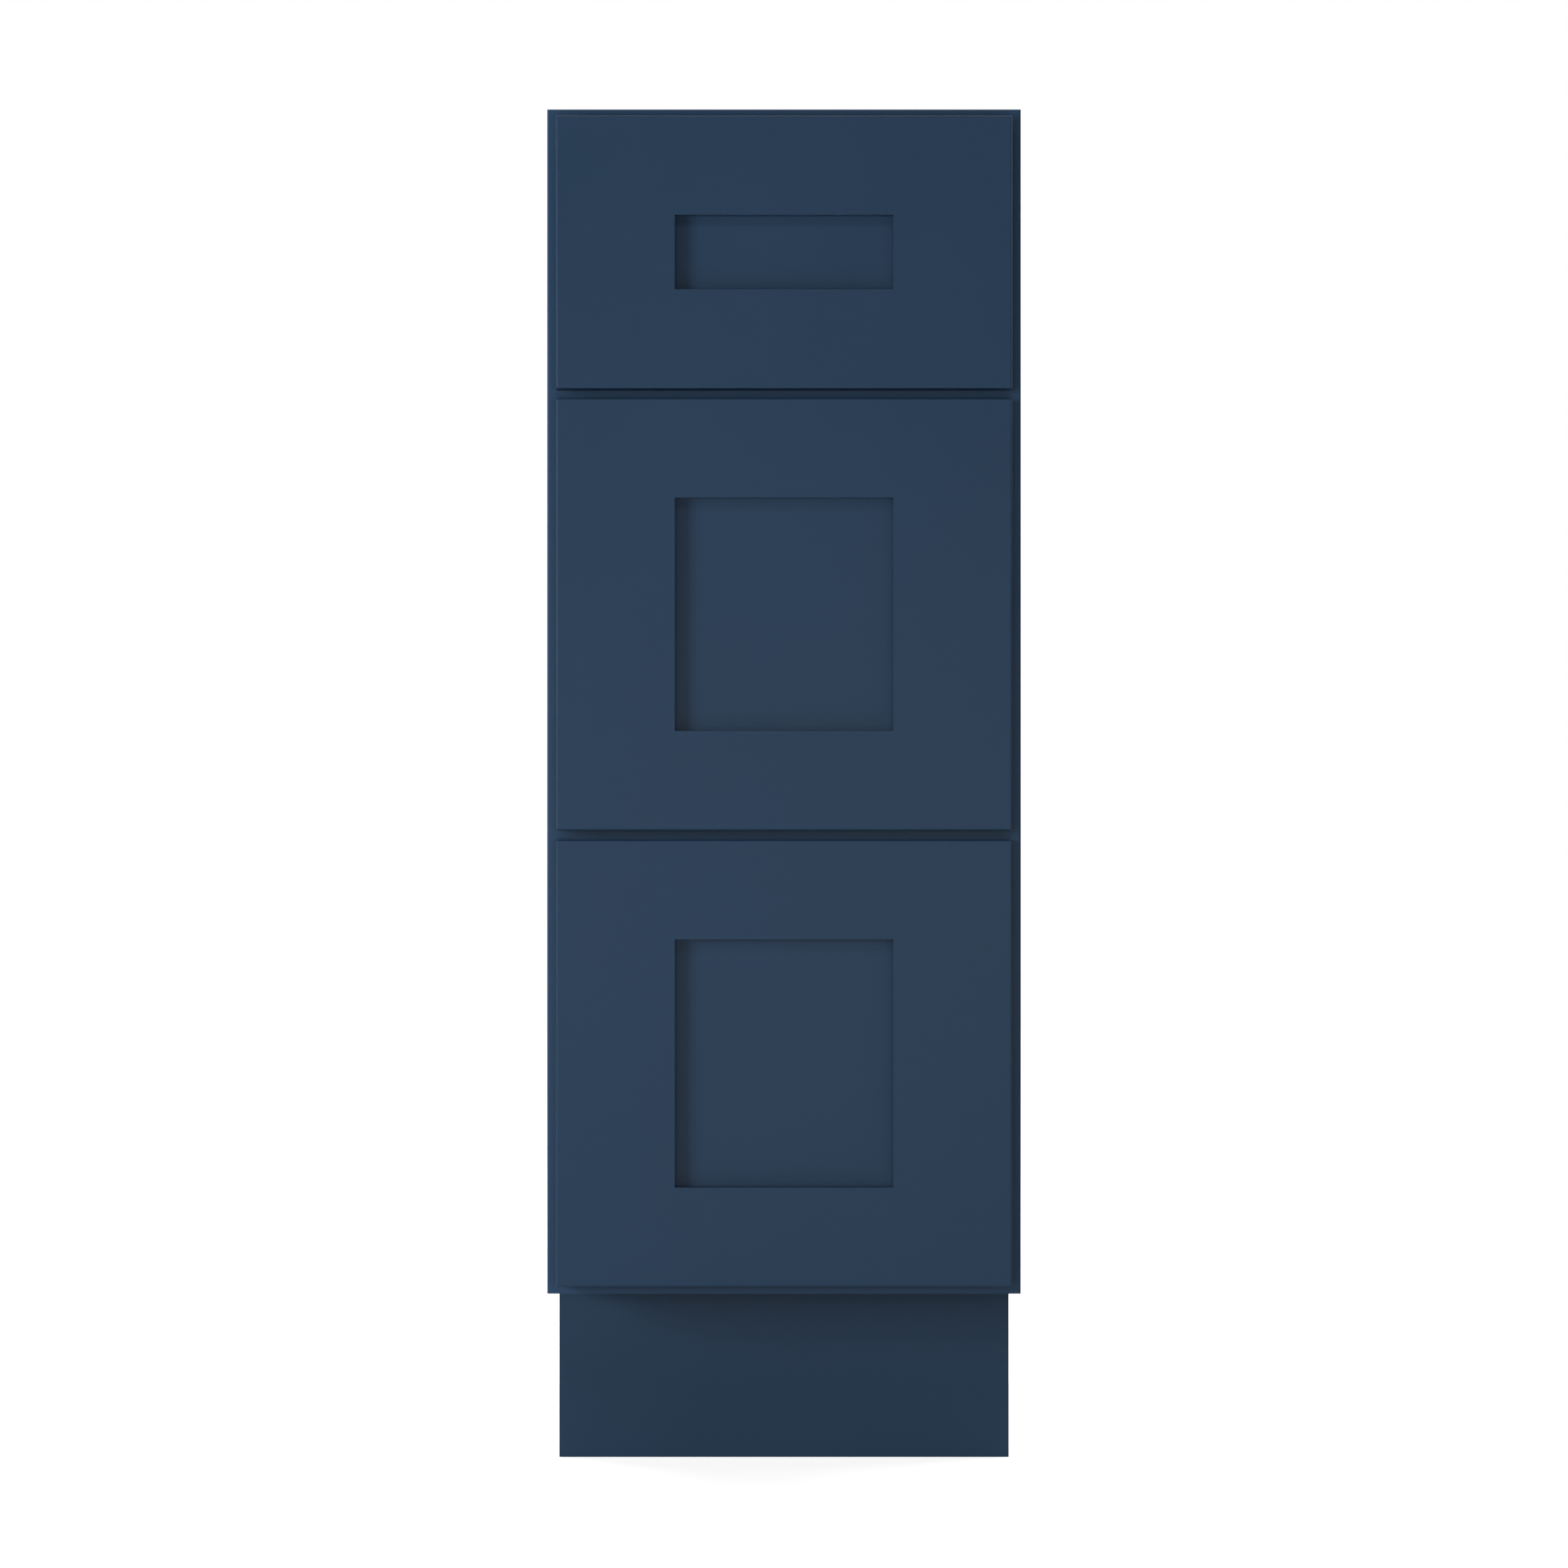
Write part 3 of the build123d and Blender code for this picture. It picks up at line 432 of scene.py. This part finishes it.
def add_bar(form, spans):
    """A rectangular bar between a low and a high value along each axis."""
    corners = [[spans[axis][(number >> axis) & 1] for axis in (X, Y, Z)] for number in range(8)]
    verts = [form.verts.new(corner) for corner in corners]
    for ring in ((0, 2, 3, 1), (4, 5, 7, 6), (0, 1, 5, 4), (2, 6, 7, 3), (0, 4, 6, 2), (1, 3, 7, 5)):
        form.faces.new([verts[number] for number in ring])


def add_roller(form, centre, axis, radius, half_length):
    """A roller with chamfered ends, its own length running along one axis."""
    chamfer = CHAMFER * radius
    profile = ((-half_length, radius - chamfer), (-half_length + chamfer, radius),
               (half_length - chamfer, radius), (half_length, radius - chamfer))
    side, up = [other for other in (X, Y, Z) if other != axis]
    rings = []
    for shift, size in profile:
        ring = []
        for step in range(FACETS):
            turn = 2 * math.pi * step / FACETS
            point = list(centre)
            point[axis] += shift
            point[side] += size * math.cos(turn)
            point[up] += size * math.sin(turn)
            ring.append(form.verts.new(point))
        rings.append(ring)
    for one, other in zip(rings, rings[1:]):
        for step in range(FACETS):
            following = (step + 1) % FACETS
            form.faces.new((one[step], one[following], other[following], other[step]))
    form.faces.new(rings[0][::-1])
    form.faces.new(rings[-1])


def add_cage(form, cage):
    """One cage round the middle of a rail."""
    rung_half = cage.roller_half * ROLLER_ROOM
    sheet = (cage.top - CAGE_SHEET, cage.top)
    inside = cage.half - CAGE_SHEET
    length = (cage.start, cage.end)
    for way in (-1, 1):
        add_bar(form, (sorted((way * cage.half, way * inside)), length, (cage.foot, cage.top)))
        add_bar(form, (sorted((way * inside, way * rung_half)), length, sheet))
    windows = int((cage.end - cage.start - RUNG) // cage.pitch)
    for number in range(windows + 1):
        rung = cage.start + number * cage.pitch
        add_bar(form, ((-rung_half, rung_half), (rung, rung + RUNG), sheet))
        if number == windows:
            break
        back = rung + (RUNG + cage.pitch) / 2
        add_roller(form, (0, back, cage.top - CAGE_SHEET / 2), X, cage.roller, cage.roller_half)
        if number % 2 == 0:
            for way in (-1, 1):
                beside = way * (cage.half - CAGE_SHEET / 2)
                centre = (beside, back, cage.foot + SIDE_ROLLER_LONG)
                add_roller(form, centre, Z, SIDE_ROLLER, SIDE_ROLLER_LONG / 2)


def make_cages(drawer, kind, cage):
    """Both sides' cages of one drawer, which travel with its middle rails."""
    low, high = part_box(f"{drawer}_drawer_middle_runners")
    form = bmesh.new()
    for way in (-1, 1):
        middle = Vector((way * (high.x - RAIL_HALF * MM), low.y, high.z - RAIL_SHEET * MM))
        already = len(form.verts)
        add_cage(form, cage)
        for vert in list(form.verts)[already:]:
            vert.co = middle + vert.co * MM
    bmesh.ops.recalc_face_normals(form, faces=form.faces)
    name = f"{drawer}_{kind}_roller_cages"
    mesh = bpy.data.meshes.new(name)
    form.to_mesh(mesh)
    form.free()
    mesh.materials.append(cage_plastic)
    piece = bpy.data.objects.new(name, mesh)
    bpy.context.scene.collection.objects.link(piece)
    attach(piece, f"{drawer}_middle_runners")


for drawer in DRAWERS:
    make_cages(drawer, "inner", INNER_CAGE)
    make_cages(drawer, "outer", OUTER_CAGE)

# ---------------------------------------------------------------------------------------------------
# Stage, lights and camera

face_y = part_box("frame_stile_right")[0].y
CAMERA_BACK = 3.55  # from the face frame's front
CAMERA_HEIGHT = 0.4423
LENS, SENSOR = 126.67, 36.0
WORLD_LIGHT = 0.05
FLOOR_HALF = 6.0
FLOOR_LIFT = 0.7  # what the eye gets from the floor beside the cabinet, on top of its light
FLOOR_LIFT_AWAY = 1.0
LIFT_SPAN = (0.5, 1.6)  # distances from the origin over which the lift grows
FLOOR_GLOW = 0.08  # the floor's own light on the cabinet
LIGHT_AWAY = 2.6
AIM_HEIGHT = 0.5

# Softboxes round the cabinet: name, azimuth from straight ahead to the right and elevation in degrees,
# width and height in metres, and watts.
SOFTBOXES = (
    ("key", -50, 5, (0.9, 0.7), 41),
    ("low_front", 5, -2, (2.2, 0.5), 10),
    ("above", -2, 38, (0.9, 0.7), 10),
    ("right_rear", 125, 22, (1.2, 1.2), 22),
    ("left_rear", -140, 30, (1.2, 1.2), 22),
)
OVERHEAD_PLACE, OVERHEAD_TARGET = Vector((0, 0.7, 2.6)), Vector((0, 0.7, 0))
OVERHEAD_SIZE = (2.4, 1.6)
OVERHEAD_POWER = 30


def area_light(name, place, target, size, power):
    """A rectangular light that faces its target and isn't seen itself."""
    lamp = bpy.data.lights.new(name, "AREA")
    lamp.shape = "RECTANGLE"
    lamp.size, lamp.size_y = size
    lamp.energy = power
    thing = bpy.data.objects.new(name, lamp)
    bpy.context.scene.collection.objects.link(thing)
    thing.location = place
    thing.visible_camera = False
    thing.rotation_euler = (target - place).to_track_quat("-Z", "Y").to_euler()


def add_softbox(name, azimuth, elevation, size, power):
    turn, rise = math.radians(azimuth), math.radians(elevation)
    flat = LIGHT_AWAY * math.cos(rise)
    target = Vector((0, face_y, AIM_HEIGHT))
    away = Vector((flat * math.sin(turn), -flat * math.cos(turn), LIGHT_AWAY * math.sin(rise)))
    area_light(name, target + away, target, size, power)


def floor_white():
    """A pale, matt studio floor. What the eye sees of it is lifted to meet the white background."""
    s = Shader("studio_floor", Specular_IOR_Level=0.1, Emission_Color=(1, 1, 1, 1))
    cloud = s.noise(s.place, scale=3, detail=3)
    colour = s.blend(cloud, (0.80, 0.80, 0.80, 1), (0.82, 0.82, 0.82, 1))
    away = s.node("VectorMath", {0: s.place}, operation="LENGTH").outputs["Value"]
    lift = s.spread(away, FLOOR_LIFT, FLOOR_LIFT_AWAY, *LIFT_SPAN)
    seen = s.node("LightPath").outputs["Is Camera Ray"]
    glow = s.math("MAXIMUM", s.math("MULTIPLY", seen, lift), FLOOR_GLOW)
    s.put(s.surface.inputs["Emission Strength"], glow)
    return s.finish(colour, s.spread(cloud, 0.7, 0.8), s.bump(cloud, distance=0.05 * MM, strength=0.2))


def make_floor():
    form = bmesh.new()
    corners = ((-FLOOR_HALF, -FLOOR_HALF), (FLOOR_HALF, -FLOOR_HALF), (FLOOR_HALF, FLOOR_HALF),
               (-FLOOR_HALF, FLOOR_HALF))
    form.faces.new([form.verts.new((x, y, 0)) for x, y in corners])
    mesh = bpy.data.meshes.new("studio_floor")
    form.to_mesh(mesh)
    form.free()
    mesh.materials.append(floor_white())
    floor = bpy.data.objects.new("studio_floor", mesh)
    bpy.context.scene.collection.objects.link(floor)


def make_world():
    """White to the eye, and a dimmer grey as a light."""
    world = bpy.data.worlds.new("studio")
    bpy.context.scene.world = world
    world.use_nodes = True
    tree = world.node_tree
    light = tree.nodes["Background"]
    seen = tree.nodes.new("ShaderNodeBackground")
    for background, strength in ((light, WORLD_LIGHT), (seen, 1.0)):
        background.inputs["Color"].default_value = (1, 1, 1, 1)
        background.inputs["Strength"].default_value = strength
    path = tree.nodes.new("ShaderNodeLightPath")
    mix = tree.nodes.new("ShaderNodeMixShader")
    tree.links.new(path.outputs["Is Camera Ray"], mix.inputs[0])
    tree.links.new(light.outputs[0], mix.inputs[1])
    tree.links.new(seen.outputs[0], mix.inputs[2])
    tree.links.new(mix.outputs[0], tree.nodes["World Output"].inputs["Surface"])


def make_camera():
    """Straight ahead of the cabinet, level, at about half its height."""
    lens = bpy.data.cameras.new("camera")
    lens.lens, lens.sensor_width = LENS, SENSOR
    lens.clip_start, lens.clip_end = 0.05, 60
    camera = bpy.data.objects.new("camera", lens)
    bpy.context.scene.collection.objects.link(camera)
    camera.location = (0, face_y - CAMERA_BACK, CAMERA_HEIGHT)
    camera.rotation_euler = (math.radians(90), 0, 0)
    bpy.context.scene.camera = camera


make_floor()
make_world()
make_camera()
for softbox in SOFTBOXES:
    add_softbox(*softbox)
area_light("overhead", OVERHEAD_PLACE, OVERHEAD_TARGET, OVERHEAD_SIZE, OVERHEAD_POWER)
bpy.context.scene.view_settings.view_transform = "Standard"
